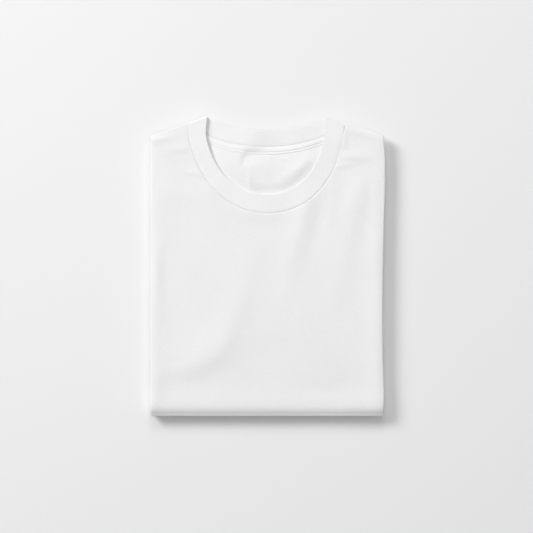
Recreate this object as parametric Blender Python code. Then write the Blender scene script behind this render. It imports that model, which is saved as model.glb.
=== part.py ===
"""A crew-neck t-shirt folded for a shelf, front and neck facing up.

The sides and sleeves are turned behind, then the lower half is turned up behind. So the front
panel runs over the top, round the fold at the bottom edge and back under the stack, and its
sides roll in along both halves. The back panel shows through the neck, under the ribbed
neckband, which turns over at the two shoulders. Metres; X across the chest, +Y toward the
neck, Z up from the shelf.
"""

import math

import bpy
import numpy as np

# Cloth, and the gap left between pieces that are sewn or lie together
WALL = 0.0012
RIB_WALL = 0.0020
TAPE_WALL = 0.0009
GAP = 0.0003

# Folded stack
THICKNESS = 0.0178
MID_Z = THICKNESS / 2
LEFT_X = -0.1385
CORNER_Y = 0.1538
CORNER_X = 0.1385
SHOULDER_SLOPE = 0.335
CENTRE_SAG = 0.0013
SAG_HALF_WIDTH = 0.1270
FOLD_ROOM = 0.0013

# Side rolls, where the cloth turns under along each half
ROLL_X = 0.0060
ROLL_RUN = 0.0030
ROLL_TUCK = 0.93
SHOULDER_TURN = 0.0032
SHOULDER_DROP = 0.0014
SHOULDER_DROP_RUN = 0.0200

# Fold at the bottom edge and the hem under the stack
FOLD_START_Y = -0.1590
FOLD_AXIS_Y = -0.1655
HEM_Y = 0.1460
BACK_LOWER_Y = -0.1500

# Neckline
NECK_X = -0.0014
NECK_Y = 0.1573
RIB_WIDTH = 0.0220
PEAK = (0.0704, 0.1776)
BACK_SEAM_DIP = 0.1410
BACK_EDGE_DIP = 0.1601
BACK_EDGE_RISE = 0.0016
NECK_SINK = 0.0016
BAND_RISE = 0.0004
BAND_TURN = 0.0016
BAND_EDGE = BAND_TURN + RIB_WALL / 2
TAPE_WIDTH = 0.0090
TAPE_HALF = 0.0820
TAPE_SETBACK = 0.0004

# Front neckband about the middle of the neck, from the right shoulder down across the front:
# degrees, distance to the seam, distance to the free edge
NECKLINE = (
    (0.0, 0.0906, 0.0682),
    (15.0, 0.0894, 0.0677),
    (30.0, 0.0902, 0.0683),
    (45.0, 0.0922, 0.0698),
    (60.0, 0.0942, 0.0714),
    (75.0, 0.0952, 0.0723),
    (90.0, 0.0951, 0.0727),
    (105.0, 0.0945, 0.0727),
    (120.0, 0.0930, 0.0719),
    (135.0, 0.0913, 0.0707),
    (150.0, 0.0897, 0.0700),
    (165.0, 0.0902, 0.0703),
    (180.0, 0.0926, 0.0718),
)

# Right-hand edge of the folded shirt: y, x
RIGHT_EDGE = (
    (-0.1766, 0.1366),
    (-0.1510, 0.1370),
    (-0.1230, 0.1360),
    (-0.0660, 0.1352),
    (0.0190, 0.1361),
    (0.0615, 0.1374),
    (0.0900, 0.1385),
    (0.1325, 0.1385),
    (0.1538, 0.1372),
)

# Outer line of the fold at the bottom edge: y, height as a share of the stack's height there
BOTTOM_FOLD = (
    (-0.1640, 0.985),
    (-0.1680, 0.935),
    (-0.1712, 0.835),
    (-0.1732, 0.715),
    (-0.1734, 0.605),
    (-0.1752, 0.520),
    (-0.1766, 0.385),
    (-0.1764, 0.230),
    (-0.1748, 0.095),
    (-0.1715, 0.018),
    (-0.1660, 0.000),
)

# Soft folds on the front: start x, y, middle x, y, end x, y, half width, height
FOLDS = (
    (0.0520, 0.0840, 0.0400, 0.0400, 0.0240, -0.0300, 0.0090, 0.0008),
    (0.0620, 0.0760, 0.0520, 0.0350, 0.0360, -0.0250, 0.0080, -0.0008),
    (0.1104, 0.0722, 0.1033, 0.0308, 0.0891, -0.0166, 0.0090, 0.0006),
    (-0.0209, 0.0308, -0.0375, -0.0521, -0.1014, -0.1266, 0.0110, 0.0010),
    (0.0323, -0.0757, 0.0595, -0.1171, 0.0856, -0.1491, 0.0100, 0.0007),
    (-0.1240, 0.0600, -0.1245, -0.0400, -0.1240, -0.1250, 0.0060, -0.0006),
)

# Edges of the hidden layers, from the underside up: height, inset from the sides, setback at
# the neck end, share of the shoulder line in the outline there (0 is the straight hem)
LAYER_EDGES = (
    (0.0016, 0.0058, 0.0030, 0.0),
    (0.0024, 0.0036, 0.0012, 0.0),
    (0.0034, 0.0028, 0.0026, 0.0),
    (0.0046, 0.0023, 0.0010, 0.0),
    (0.0061, 0.0044, 0.0024, 0.0),
    (0.0067, 0.0104, 0.0040, 0.3),
    (0.0076, 0.0104, 0.0110, 0.7),
    (0.0088, 0.0104, 0.0086, 1.0),
    (0.0097, 0.0104, 0.0100, 1.0),
    (0.0111, 0.0104, 0.0070, 1.0),
    (0.0114, 0.0062, 0.0066, 1.0),
    (0.0122, 0.0038, 0.0060, 1.0),
)
LAYERS_BOTTOM_Y = -0.1625

WHITE_JERSEY = (0.86, 0.86, 0.87, 1.0)
WHITE_RIB = (0.88, 0.88, 0.89, 1.0)
WHITE_TAPE = (0.90, 0.90, 0.90, 1.0)
INNER_JERSEY = (0.80, 0.80, 0.81, 1.0)


def clear_scene():
    for old in list(bpy.data.objects):
        bpy.data.objects.remove(old, do_unlink=True)


def cloth_material(name, colour, roughness):
    material = bpy.data.materials.new(name)
    material.use_nodes = True
    shader = material.node_tree.nodes["Principled BSDF"]
    shader.inputs["Base Color"].default_value = colour
    shader.inputs["Roughness"].default_value = roughness
    shader.inputs["Metallic"].default_value = 0.0
    return material


def smooth_step(value):
    value = np.clip(value, 0.0, 1.0)
    return value * value * (3.0 - 2.0 * value)


def through(knots, values, at):
    """Smooth curve through the rows of a table, level past its ends."""
    knots = np.asarray(knots, float)
    values = np.asarray(values, float)
    slopes = np.gradient(values, knots)
    at = np.clip(at, knots[0], knots[-1])
    row = np.clip(np.searchsorted(knots, at, side="right") - 1, 0, len(knots) - 2)
    step = knots[row + 1] - knots[row]
    share = (at - knots[row]) / step
    rest = 1.0 - share
    start = rest * rest * ((1.0 + 2.0 * share) * values[row] + share * step * slopes[row])
    end = share * share * ((1.0 + 2.0 * rest) * values[row + 1] - rest * step * slopes[row + 1])
    return start + end


# Outlines and heights that the pieces share


def right_edge(y):
    return through([row[0] for row in RIGHT_EDGE], [row[1] for row in RIGHT_EDGE], y)


def shoulder_line(x):
    """Y of the shoulder edge, sloping from the neckband down to each corner."""
    outward = np.clip(np.abs(x), PEAK[0] + RIB_WIDTH, CORNER_X)
    return CORNER_Y + (CORNER_X - outward) * SHOULDER_SLOPE


def bend(start, middle, end, share):
    """Point on the curve that leaves start, leans to middle and comes in at end."""
    rest = 1.0 - share
    return (
        rest * rest * start[0] + 2.0 * rest * share * middle[0] + share * share * end[0],
        rest * rest * start[1] + 2.0 * rest * share * middle[1] + share * share * end[1],
    )


def fold_height(x, y, fold):
    """Height that one soft fold adds, fading to both of its ends."""
    x0, y0, x1, y1, x2, y2, half_width, height = fold
    nearest = np.full(np.shape(x), 1.0)
    along = np.zeros(np.shape(x))
    for share in np.linspace(0.0, 1.0, 25):
        px, py = bend((x0, y0), (2 * x1 - (x0 + x2) / 2, 2 * y1 - (y0 + y2) / 2), (x2, y2), share)
        distance = np.hypot(x - px, y - py)
        along = np.where(distance < nearest, share, along)
        nearest = np.minimum(nearest, distance)
    return height * np.exp(-((nearest / half_width) ** 2)) * np.sin(math.pi * along) ** 0.6


def stack_height(x, y):
    """Height of the stack without its small folds, a little lower along the middle."""
    toward_side = np.clip(np.abs(x) / SAG_HALF_WIDTH, 0.0, 1.0)
    from_fold = smooth_step((y - FOLD_START_Y) / 0.050)
    return THICKNESS - CENTRE_SAG * (1.0 - toward_side**2.5) * from_fold


def front_height(x, y):
    """Height of the front panel's outer face over the stack."""
    height = stack_height(x, y)
    for fold in FOLDS:
        height = height + fold_height(x, y, fold) * smooth_step((y - FOLD_START_Y) / 0.012)
    return height


def neckline_distance(angle, column):
    """Distance from the middle of the neck to the seam (column 1) or the free edge (2)."""
    degrees = [row[0] for row in NECKLINE]
    return through(degrees, [row[column] for row in NECKLINE], np.degrees(angle))


def neck_reach(x, y):
    """1 on the neckband's outer seam, less inside it."""
    across = x - NECK_X
    down = NECK_Y - np.minimum(y, NECK_Y)
    return np.hypot(across, down) / neckline_distance(np.arctan2(down, across), 1)


def back_height(x, y):
    """Height of the back panel's upper face, which sinks where the neck opens over it and
    drops to the seam at the shoulders."""
    inside = 1.0 - smooth_step((neck_reach(x, y) - 0.70) / 0.55)
    sink = NECK_SINK * (0.5 + 0.5 * smooth_step((y - 0.075) / 0.055))
    drop = SHOULDER_DROP * smooth_step(1.0 - (shoulder_line(x) - y) / SHOULDER_DROP_RUN)
    return stack_height(x, y) - WALL - FOLD_ROOM - np.maximum(sink * inside, drop)


def neckline_point(angle, column, margin=0.0):
    """Plan point on the seam (column 1) or the free edge (2) of the front neckband."""
    distance = float(neckline_distance(angle, column)) + margin
    return NECK_X + distance * math.cos(angle), NECK_Y - distance * math.sin(angle)


def back_seam(x):
    """Y of the seam between the back panel and the neckband."""
    share = np.clip(np.abs(x - NECK_X) / (PEAK[0] + RIB_WIDTH), 0.0, 1.0)
    end = CORNER_Y + (CORNER_X - PEAK[0] - RIB_WIDTH) * SHOULDER_SLOPE - SHOULDER_TURN
    return BACK_SEAM_DIP + (end - BACK_SEAM_DIP) * share**2.2


# Meshes


def mesh_object(name, points, faces, material, parent):
    mesh = bpy.data.meshes.new(name)
    mesh.from_pydata([tuple(point) for point in points], [], faces)
    mesh.materials.append(material)
    mesh.update()
    mesh.shade_smooth()
    mesh.set_sharp_from_angle(angle=math.radians(50))
    piece = bpy.data.objects.new(name, mesh)
    bpy.context.collection.objects.link(piece)
    piece.parent = parent
    return piece


def grid_faces(rows, columns, first=0, flip=False):
    faces = []
    for row in range(rows - 1):
        for column in range(columns - 1):
            a = first + row * columns + column
            face = (a, a + columns, a + columns + 1, a + 1)
            faces.append(face[::-1] if flip else face)
    return faces


def wall_from_grid(upper, lower):
    """Closed wall between two grids of points, the first facing out."""
    rows, columns = upper.shape[:2]
    count = rows * columns
    points = np.concatenate([upper.reshape(-1, 3), lower.reshape(-1, 3)])
    faces = grid_faces(rows, columns) + grid_faces(rows, columns, count, flip=True)
    rim = [(0, column) for column in range(columns)]
    rim += [(row, columns - 1) for row in range(1, rows)]
    rim += [(rows - 1, column) for column in range(columns - 2, -1, -1)]
    rim += [(row, 0) for row in range(rows - 2, 0, -1)]
    index = [row * columns + column for row, column in rim]
    for here, after in zip(index, index[1:] + index[:1]):
        faces.append((here, after, after + count, here + count))
    return points, faces


def ring_loft(rings):
    """Closed solid through rings of the same number of points, given from the bottom up."""
    size = len(rings[0])
    points = np.concatenate(rings)
    faces = []
    for level in range(len(rings) - 1):
        for k in range(size):
            after = (k + 1) % size
            low = level * size
            faces.append((low + k, low + after, low + size + after, low + size + k))
    faces.append(tuple(range(size - 1, -1, -1)))
    faces.append(tuple(range((len(rings) - 1) * size, len(rings) * size)))
    return points, faces


def wall_normals(grid):
    """Unit normals of a grid of points, from its neighbours."""
    down = np.gradient(grid, axis=0)
    across = np.gradient(grid, axis=1)
    normal = np.cross(down, across)
    return normal / np.linalg.norm(normal, axis=2, keepdims=True)


# Front panel


def section_columns():
    """Columns of the front panel's cross-section, as arrays: place between the two rolls,
    offset outward from there in roll widths, and how far it has turned under."""
    turns = np.linspace(math.pi, 0.0, 7)[:-1]
    flat = np.linspace(0.0, 1.0, 21)
    flat = 0.5 * flat + 0.25 * (1.0 - np.cos(math.pi * flat))
    place = [0.0]
    offset = [ROLL_RUN / ROLL_X]
    turned = [1.0]
    for turn in turns:
        place.append(0.0)
        offset.append(-math.sin(turn))
        turned.append((1.0 - math.cos(turn)) / 2.0)
    for share in flat:
        place.append(share)
        offset.append(0.0)
        turned.append(0.0)
    for turn in turns[::-1]:
        place.append(1.0)
        offset.append(math.sin(turn))
        turned.append((1.0 - math.cos(turn)) / 2.0)
    place.append(1.0)
    offset.append(-ROLL_RUN / ROLL_X)
    turned.append(1.0)
    return np.array(place), np.array(offset), np.array(turned) * ROLL_TUCK


def section_x(y, place, offset):
    left = LEFT_X + ROLL_X
    right = right_edge(y) - ROLL_X
    return left + (right - left) * place + ROLL_X * offset


def front_grid():
    """Outer face of the front panel: the turned shoulder edge, the top, the fold at the
    bottom edge and the underside as far as the hem."""
    place, offset, turned = section_columns()
    rows = []
    for turn in np.linspace(math.pi / 2, 0.0, 4):
        rows.append(shoulder_row(place, offset, turned, turn))
    for share in np.linspace(0.0, 1.0, 25)[1:]:
        rows.append(top_row(place, offset, turned, share))
    for y, height in BOTTOM_FOLD:
        rows.append(bottom_row(place, offset, turned, y, height))
    for y in [row[0] for row in RIGHT_EDGE[2:-1]] + [HEM_Y]:
        rows.append(bottom_row(place, offset, turned, y, 0.0))
    return np.array(rows)


def shoulder_row(place, offset, turned, turn):
    x = section_x(CORNER_Y, place, offset)
    y = shoulder_line(x) - SHOULDER_TURN * (1.0 - math.sin(turn))
    top = front_height(x, y)
    fallen = SHOULDER_TURN * (1.0 - math.cos(turn)) / (top - MID_Z)
    share = (turned**3 + fallen**3) ** (1.0 / 3.0)
    return np.stack([x, y, MID_Z + (top - MID_Z) * (1.0 - np.minimum(share, 0.97))], axis=1)


def top_row(place, offset, turned, share):
    x = section_x(CORNER_Y, place, offset)
    start = shoulder_line(x) - SHOULDER_TURN
    y = start + (FOLD_START_Y - start) * share
    x = section_x(y, place, offset)
    top = front_height(x, y)
    return np.stack([x, y, MID_Z + (top - MID_Z) * (1.0 - turned)], axis=1)


def bottom_row(place, offset, turned, y, height):
    """Row past the start of the bottom fold, its rolls drawn in round the fold's axis."""
    x = section_x(y, place, offset)
    z = THICKNESS * height
    axis_y = max(y, FOLD_AXIS_Y)
    rest = 1.0 - turned
    return np.stack([x, axis_y + (y - axis_y) * rest, MID_Z + (z - MID_Z) * rest], axis=1)


def neckline_cutter(parent):
    """Guide solid with the outline of the front neckband's seam, open past the neck end."""
    turn_y = float(shoulder_line(PEAK[0] + RIB_WIDTH)) - 2.0 * BAND_EDGE
    reach = PEAK[0] + RIB_WIDTH + 2.0 * GAP
    end = NECK_Y + 0.040
    plan = [(NECK_X + reach, end), (NECK_X + reach, turn_y)]
    plan += [neckline_point(angle, 1, GAP) for angle in np.linspace(0.0, math.pi, 41)]
    plan += [(NECK_X - reach, turn_y), (NECK_X - reach, end)]
    rings = []
    for z in (MID_Z + 0.0012, THICKNESS + 0.010):
        rings.append(np.array([(x, y, z) for x, y in plan[::-1]]))
    points, faces = ring_loft(rings)
    cutter = mesh_object("neckline_guide", points, faces, cloth_material("guide", WHITE_RIB, 1), parent)
    cutter.hide_render = True
    cutter.display_type = "WIRE"
    return cutter


def build_front_panel(parent, material):
    outer = front_grid()
    inner = outer - wall_normals(outer) * WALL
    points, faces = wall_from_grid(outer, inner)
    panel = mesh_object("front_panel", points, faces, material, parent)
    cut = panel.modifiers.new("neckline", "BOOLEAN")
    cut.operation = "DIFFERENCE"
    cut.solver = "EXACT"
    cut.object = neckline_cutter(parent)
    return panel


# Back panel


def back_end(x):
    """Y of the back panel's neck end: the shallow neckline, and the shoulder edges beside it."""
    if abs(x - NECK_X) < PEAK[0] + RIB_WIDTH:
        return float(back_seam(x)) - GAP
    return float(shoulder_line(x)) - GAP


def build_back_panel(parent, material):
    """Back of the shirt under the front, cut to its shallow neckline and sewn to the front
    along the shoulders."""
    half = CORNER_X - ROLL_X - 2.0 * WALL
    x = np.linspace(-half, half, 27)
    ends = np.array([back_end(here) for here in x])
    upper = []
    for share in np.linspace(0.0, 1.0, 19) ** 1.3:
        y = ends + (BACK_LOWER_Y - ends) * share
        upper.append(np.stack([x, y, back_height(x, y)], axis=1))
    upper = np.array(upper)
    lower = upper - np.array([0.0, 0.0, WALL])
    points, faces = wall_from_grid(upper, lower)
    return mesh_object("back_panel", points, faces, material, parent)


# Neckband


def band_section(width):
    """Cross-section of the folded rib: distance from the seam, height off its middle."""
    half = RIB_WALL / 2
    return (
        (0.0, 0.6 * half),
        (0.0022, half),
        (width * 0.6, 1.1 * half),
        (width - 0.0014, 0.9 * half),
        (width - 0.0003, 0.45 * half),
        (width, 0.0),
        (width - 0.0003, -0.45 * half),
        (width - 0.0014, -0.9 * half),
        (width * 0.6, -half),
        (0.0022, -half),
        (0.0, -0.6 * half),
    )


def band_ring(seam, free, normal):
    """One section of the neckband from its seam to its free edge."""
    seam = np.array(seam)
    free = np.array(free)
    width = np.linalg.norm(free - seam)
    along = (free - seam) / width
    normal = np.array(normal) - along * np.dot(normal, along)
    normal = normal / np.linalg.norm(normal)
    return [seam + along * distance + normal * height for distance, height in band_section(width)]


def front_band_section(angle):
    """Section of the band on the front, level with the panel and a little proud beside the
    neck, where the band turns over."""
    rise = BAND_RISE * math.cos(angle) ** 2 - RIB_WALL / 2
    ends = []
    for column in (1, 2):
        x, y = neckline_point(angle, column)
        ends.append((x, y, float(front_height(x, y)) + rise))
    return band_ring(ends[0], ends[1], (0.0, 0.0, 1.0))


def band_levels():
    """Heights of the band's middle at the shoulder: on the front, and turned over behind."""
    top = THICKNESS + BAND_RISE - RIB_WALL / 2
    return top, top - 2.0 * BAND_TURN


def shoulder_band_section(side, setback, turn):
    """Section of the band at a shoulder, from lying on the front (0) to lying behind (pi)."""
    top, low = band_levels()
    out = BAND_TURN * math.sin(turn) - setback
    height = (top + low) / 2 + BAND_TURN * math.cos(turn)
    seam_x = PEAK[0] + RIB_WIDTH
    seam = (NECK_X + side * seam_x, float(shoulder_line(seam_x)) + out, height)
    free = (NECK_X + side * PEAK[0], PEAK[1] + out, height)
    normal = (side * SHOULDER_SLOPE * math.sin(turn), math.sin(turn), math.cos(turn))
    return band_ring(seam, free, normal)


def back_band_section(across):
    """Section of the band behind the neck: sewn low on the back panel and rising to its free
    edge, level with the turned band near each shoulder. Across runs from -1 to 1."""
    share = abs(across)
    low = band_levels()[1]
    seam_x = NECK_X + across * (PEAK[0] + RIB_WIDTH)
    seam_y = float(back_seam(seam_x))
    free_y = BACK_EDGE_DIP + (PEAK[1] - 2.5 * BAND_TURN - BACK_EDGE_DIP) * share**1.9
    seam_z = float(back_height(seam_x, seam_y)) - GAP
    free_z = seam_z + BACK_EDGE_RISE
    blend = float(smooth_step((share - 0.55) / 0.40))
    seam = (seam_x, seam_y, seam_z + (low - seam_z) * blend)
    free = (NECK_X + across * PEAK[0], free_y, free_z + (low - free_z) * blend)
    return band_ring(seam, free, (0.0, 0.0, -1.0))


def band_stations():
    """Sections round the whole neckband: the front from the right shoulder to the left, over
    the left shoulder, along the back, and over the right shoulder again."""
    turns = np.linspace(0.0, math.pi, 5)
    stations = [shoulder_band_section(1, 2.0 * BAND_EDGE, 0.0)]
    stations += [front_band_section(angle) for angle in np.linspace(0.0, math.pi, 27)]
    stations += [shoulder_band_section(-1, 2.0 * BAND_EDGE, 0.0)]
    stations += [shoulder_band_section(-1, BAND_EDGE, turn) for turn in turns]
    stations += [back_band_section(across) for across in np.linspace(-0.9, 0.9, 19)]
    stations += [shoulder_band_section(1, BAND_EDGE, turn) for turn in turns[::-1]]
    return stations


def build_neck_rib(parent, material):
    stations = np.array(band_stations())
    count, size = stations.shape[:2]
    faces = []
    for k in range(count):
        after = (k + 1) % count
        for j in range(size):
            step = (j + 1) % size
            faces.append((k * size + j, k * size + step, after * size + step, after * size + j))
    return mesh_object("neck_rib", stations.reshape(-1, 3), faces, material, parent)


# Neck tape


def build_neck_tape(parent, material):
    """Strip over the back neck seam, made from the back panel's own points, moved up."""
    upper = []
    lower = []
    for share in np.linspace(1.0, 0.0, 4):
        x = np.linspace(-TAPE_HALF, TAPE_HALF, 25) + NECK_X
        y = back_seam(x) - TAPE_SETBACK - TAPE_WIDTH * (1.0 - share)
        base = back_height(x, y) + GAP
        crown = TAPE_WALL * (0.7 + 0.3 * math.sin(math.pi * share))
        upper.append(np.stack([x, y, base + crown], axis=1))
        lower.append(np.stack([x, y, base], axis=1))
    points, faces = wall_from_grid(np.array(upper), np.array(lower))
    return mesh_object("neck_tape", points, faces, material, parent)


# Hidden layers


def neck_end(x):
    """Furthest Y of the hidden layers, kept behind the back neckline."""
    share = np.clip(abs(x - NECK_X) / 0.100, 0.0, 1.0)
    return 0.1480 + 0.0200 * share**2


def layer_end(x, shoulder_share):
    """Y of the neck end of a hidden layer, between the straight hem and the shoulder line."""
    shoulder = float(min(shoulder_line(x), neck_end(x)))
    return HEM_Y + (shoulder - HEM_Y) * shoulder_share


def layer_outline(inset, setback, shoulder_share):
    """Plan outline of one level of the hidden layers, anticlockwise from the near right."""
    corner = 0.004
    near = LAYERS_BOTTOM_Y + inset
    far = CORNER_Y - 0.012 - setback
    left = LEFT_X + inset
    plan = []
    side_y = np.linspace(near + corner, far, 8)
    for y in side_y:
        plan.append((float(right_edge(y)) - inset, y))
    right = plan[-1][0]
    for share in np.linspace(1.0, 0.0, 17):
        x = left + corner * 0.3 + (right - left - corner * 0.6) * share
        plan.append((x, layer_end(x, shoulder_share) - setback))
    for y in side_y[::-1]:
        plan.append((left, y))
    near_right = plan[0][0]
    for share in np.linspace(0.04, 0.96, 7):
        plan.append((left + (near_right - left) * share, near))
    return plan


def layers_top(x, y):
    return back_height(x, y) - WALL - 2.0 * GAP


def level_height(x, y, height):
    """A level's own height, pressed down where the back panel sinks over it."""
    return np.minimum(height, layers_top(x, y) - 0.2 * (0.0150 - height))


def build_folded_layers(parent, material):
    rings = []
    for height, inset, setback, shoulder_share in LAYER_EDGES:
        outline = np.array(layer_outline(inset, setback, shoulder_share))
        level = level_height(outline[:, 0], outline[:, 1], height)
        rings.append(np.column_stack([outline, level]))
    for inset in (0.0040, 0.0120, 0.0300, 0.0500, 0.0700, 0.0950, 0.1200):
        outline = np.array(layer_outline(inset, 0.0040 + inset, 1.0))
        rings.append(np.column_stack([outline, layers_top(outline[:, 0], outline[:, 1])]))
    points, faces = ring_loft(rings)
    return mesh_object("folded_layers", points, faces, material, parent)


def build_shirt():
    clear_scene()
    shirt = bpy.data.objects.new("folded_tshirt", None)
    bpy.context.collection.objects.link(shirt)
    build_front_panel(shirt, cloth_material("white_jersey", WHITE_JERSEY, 0.9))
    build_back_panel(shirt, cloth_material("white_jersey_inside", WHITE_JERSEY, 0.9))
    build_neck_rib(shirt, cloth_material("white_rib", WHITE_RIB, 0.85))
    build_neck_tape(shirt, cloth_material("white_tape", WHITE_TAPE, 0.8))
    build_folded_layers(shirt, cloth_material("inner_jersey", INNER_JERSEY, 0.95))


build_shirt()
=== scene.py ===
import math

import bpy
import numpy as np
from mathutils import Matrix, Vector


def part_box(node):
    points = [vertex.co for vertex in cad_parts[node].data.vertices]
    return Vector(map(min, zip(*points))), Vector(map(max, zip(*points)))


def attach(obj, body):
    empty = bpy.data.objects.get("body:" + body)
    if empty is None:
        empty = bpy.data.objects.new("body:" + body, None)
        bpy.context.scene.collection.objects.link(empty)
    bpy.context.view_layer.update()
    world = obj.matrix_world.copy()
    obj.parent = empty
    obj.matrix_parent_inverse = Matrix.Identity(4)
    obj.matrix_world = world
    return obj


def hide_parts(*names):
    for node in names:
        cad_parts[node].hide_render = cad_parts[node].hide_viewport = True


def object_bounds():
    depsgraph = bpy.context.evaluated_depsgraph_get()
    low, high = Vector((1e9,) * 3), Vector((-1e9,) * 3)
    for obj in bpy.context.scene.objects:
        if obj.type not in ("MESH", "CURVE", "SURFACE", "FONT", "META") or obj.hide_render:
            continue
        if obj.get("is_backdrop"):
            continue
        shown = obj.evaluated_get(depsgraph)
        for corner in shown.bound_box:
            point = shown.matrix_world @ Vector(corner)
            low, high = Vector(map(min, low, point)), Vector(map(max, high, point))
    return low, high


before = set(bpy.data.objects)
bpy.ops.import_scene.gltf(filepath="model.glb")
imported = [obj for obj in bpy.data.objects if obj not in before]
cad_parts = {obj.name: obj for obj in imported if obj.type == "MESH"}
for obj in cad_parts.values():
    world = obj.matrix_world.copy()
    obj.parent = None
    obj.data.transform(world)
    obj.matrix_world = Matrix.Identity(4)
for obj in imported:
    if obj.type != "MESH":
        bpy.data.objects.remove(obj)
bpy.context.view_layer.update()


# Hidden layers
# The sleeves, the side parts and the lower back, folded away between the two halves of the
# shirt. White cotton single jersey; only their edges show, at the neck end and in the slots
# along the sides. They lie loose on each other, held by their own weight.

STACK_TOP = 0.0178
STACK_MIDDLE = STACK_TOP / 2
LEFT_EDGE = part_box("front_panel")[0].x
CORNER = (0.1385, 0.1538)
SHOULDER_SLOPE = 0.335
CENTRE_SAG = 0.0003
SAG_HALF_WIDTH = 0.127
SAG_STARTS = -0.160
SAG_RUN = 0.014
SAG_BEND = 2.5
JERSEY = 0.0012
SEAM_GAP = 0.0003
NECK = (-0.0014, 0.1573)
SHOULDER_X = 0.0924
BAND_TURNS_AT = 0.1640
HEM = 0.1460
NECKLINE = (
    # degrees round the neck, distance to the seam, distance to the free edge
    (0.0, 0.0906, 0.0682),
    (15.0, 0.0894, 0.0677),
    (30.0, 0.0902, 0.0683),
    (45.0, 0.0922, 0.0698),
    (60.0, 0.0942, 0.0714),
    (75.0, 0.0952, 0.0723),
    (90.0, 0.0951, 0.0727),
    (105.0, 0.0945, 0.0727),
    (120.0, 0.0930, 0.0719),
    (135.0, 0.0913, 0.0707),
    (150.0, 0.0897, 0.0700),
    (165.0, 0.0902, 0.0703),
    (180.0, 0.0926, 0.0718),
)
RIGHT_EDGE = (
    # y, x
    (-0.1766, 0.1373),
    (-0.1510, 0.1379),
    (-0.1230, 0.1369),
    (-0.0660, 0.1361),
    (0.0190, 0.1370),
    (0.0615, 0.1380),
    (0.0900, 0.1388),
    (0.1325, 0.1388),
    (0.1538, 0.1372),
)


def ease(value):
    value = np.clip(value, 0.0, 1.0)
    return value * value * (3.0 - 2.0 * value)


def curve_through(rows, at):
    """Smooth curve through the rows of a two-column table, level past its ends."""
    knots, values = np.array(rows, float).T
    slopes = np.gradient(values, knots)
    slopes[[0, -1]] = 0.0
    at = np.clip(at, knots[0], knots[-1])
    row = np.clip(np.searchsorted(knots, at, side="right") - 1, 0, len(knots) - 2)
    step = knots[row + 1] - knots[row]
    share = (at - knots[row]) / step
    rest = 1.0 - share
    start = rest * rest * ((1.0 + 2.0 * share) * values[row] + share * step * slopes[row])
    end = share * share * ((1.0 + 2.0 * rest) * values[row + 1] - rest * step * slopes[row + 1])
    return start + end


def shoulder_line(x):
    outward = np.clip(np.abs(x), SHOULDER_X, CORNER[0])
    return CORNER[1] + (CORNER[0] - outward) * SHOULDER_SLOPE


def stack_height(x, y):
    toward_side = np.clip(np.abs(x) / SAG_HALF_WIDTH, 0.0, 1.0)
    from_fold = ease((y - SAG_STARTS) / SAG_RUN)
    return STACK_TOP - CENTRE_SAG * (1.0 - toward_side**SAG_BEND) * from_fold


def neckline_distance(angle, column):
    """Distance from the middle of the neck to the seam (column 1) or the free edge (2)."""
    return curve_through([(row[0], row[column]) for row in NECKLINE], np.degrees(angle))


def from_seam(x, y):
    """Distance out from the seam of the front neckband, negative toward the neck."""
    across = x - NECK[0]
    down = NECK[1] - np.minimum(y, NECK[1])
    seam = neckline_distance(np.arctan2(down, across), 1)
    above = np.clip((y - NECK[1]) / (BAND_TURNS_AT - NECK[1]), 0.0, 1.0)
    return np.hypot(across, down) - seam - (SHOULDER_X - seam) * above


BACK_SINK = 0.0020
SINK_LEAST = 0.15
SINK_FULL_INSIDE = 0.0280
SINK_RUN = 0.0510
SINK_DEEPENS_FROM = 0.115
SINK_DEEPENS_OVER = 0.035
BACK_DROP = 0.0014
BACK_DROP_RUN = 0.020
FOLD_ROOM = 0.0009


def back_height(x, y):
    """Height of the back panel's upper face, sunk under the neck and at the shoulders."""
    inside = 1.0 - ease((from_seam(x, y) + SINK_FULL_INSIDE) / SINK_RUN)
    deepened = ease((y - SINK_DEEPENS_FROM) / SINK_DEEPENS_OVER)
    sink = BACK_SINK * (SINK_LEAST + (1.0 - SINK_LEAST) * deepened)
    drop = BACK_DROP * ease(1.0 - (shoulder_line(x) - y) / BACK_DROP_RUN)
    return stack_height(x, y) - JERSEY - FOLD_ROOM - np.maximum(sink * inside, drop)


def piece_from(name, points, faces, material, sharp_degrees=60):
    mesh = bpy.data.meshes.new(name)
    mesh.from_pydata(np.asarray(points).tolist(), [], faces)
    mesh.update()
    mesh.materials.append(material)
    mesh.shade_smooth()
    mesh.set_sharp_from_angle(angle=math.radians(sharp_degrees))
    piece = bpy.data.objects.new(name, mesh)
    bpy.context.collection.objects.link(piece)
    return piece


class Nodes:
    """Short calls for building a material's nodes."""

    def __init__(self, material):
        material.use_nodes = True
        self.tree = material.node_tree
        self.shader = self.tree.nodes["Principled BSDF"]

    def add(self, kind, inputs=(), **settings):
        node = self.tree.nodes.new(kind)
        for name, value in settings.items():
            setattr(node, name, value)
        for name, value in dict(inputs).items():
            if isinstance(value, bpy.types.NodeSocket):
                self.tree.links.new(value, node.inputs[name])
            else:
                node.inputs[name].default_value = value
        return node

    def math(self, operation, first, second=0.0):
        node = self.add("ShaderNodeMath", {0: first, 1: second}, operation=operation)
        return node.outputs["Value"]


KNIT_ROUGHNESS = 0.93
KNIT_SPECULAR = 0.2
KNIT_MOTTLE = 0.016
KNIT_SHEEN = 0.12
SHEEN_ROUGHNESS = 0.5
BUMP_STRENGTH = 0.5
WANDER_SCALE = 60.0
WANDER_WALES = 1.4
STITCH_LEAN = 1.3
LOOP_RELIEF = 0.5
COLUMN_RELIEF = -0.6
FIBRE_SCALE = 1400.0
FIBRE_RELIEF = 1.6
THREAD_SCALE = 1000.0
THREAD_STRETCH = (0.45, 1.0, 1.0)
THREAD_SHADE = 4.0
SHADE_OFFSET = 2.0
CLOUD_SCALE = 18.0


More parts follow.
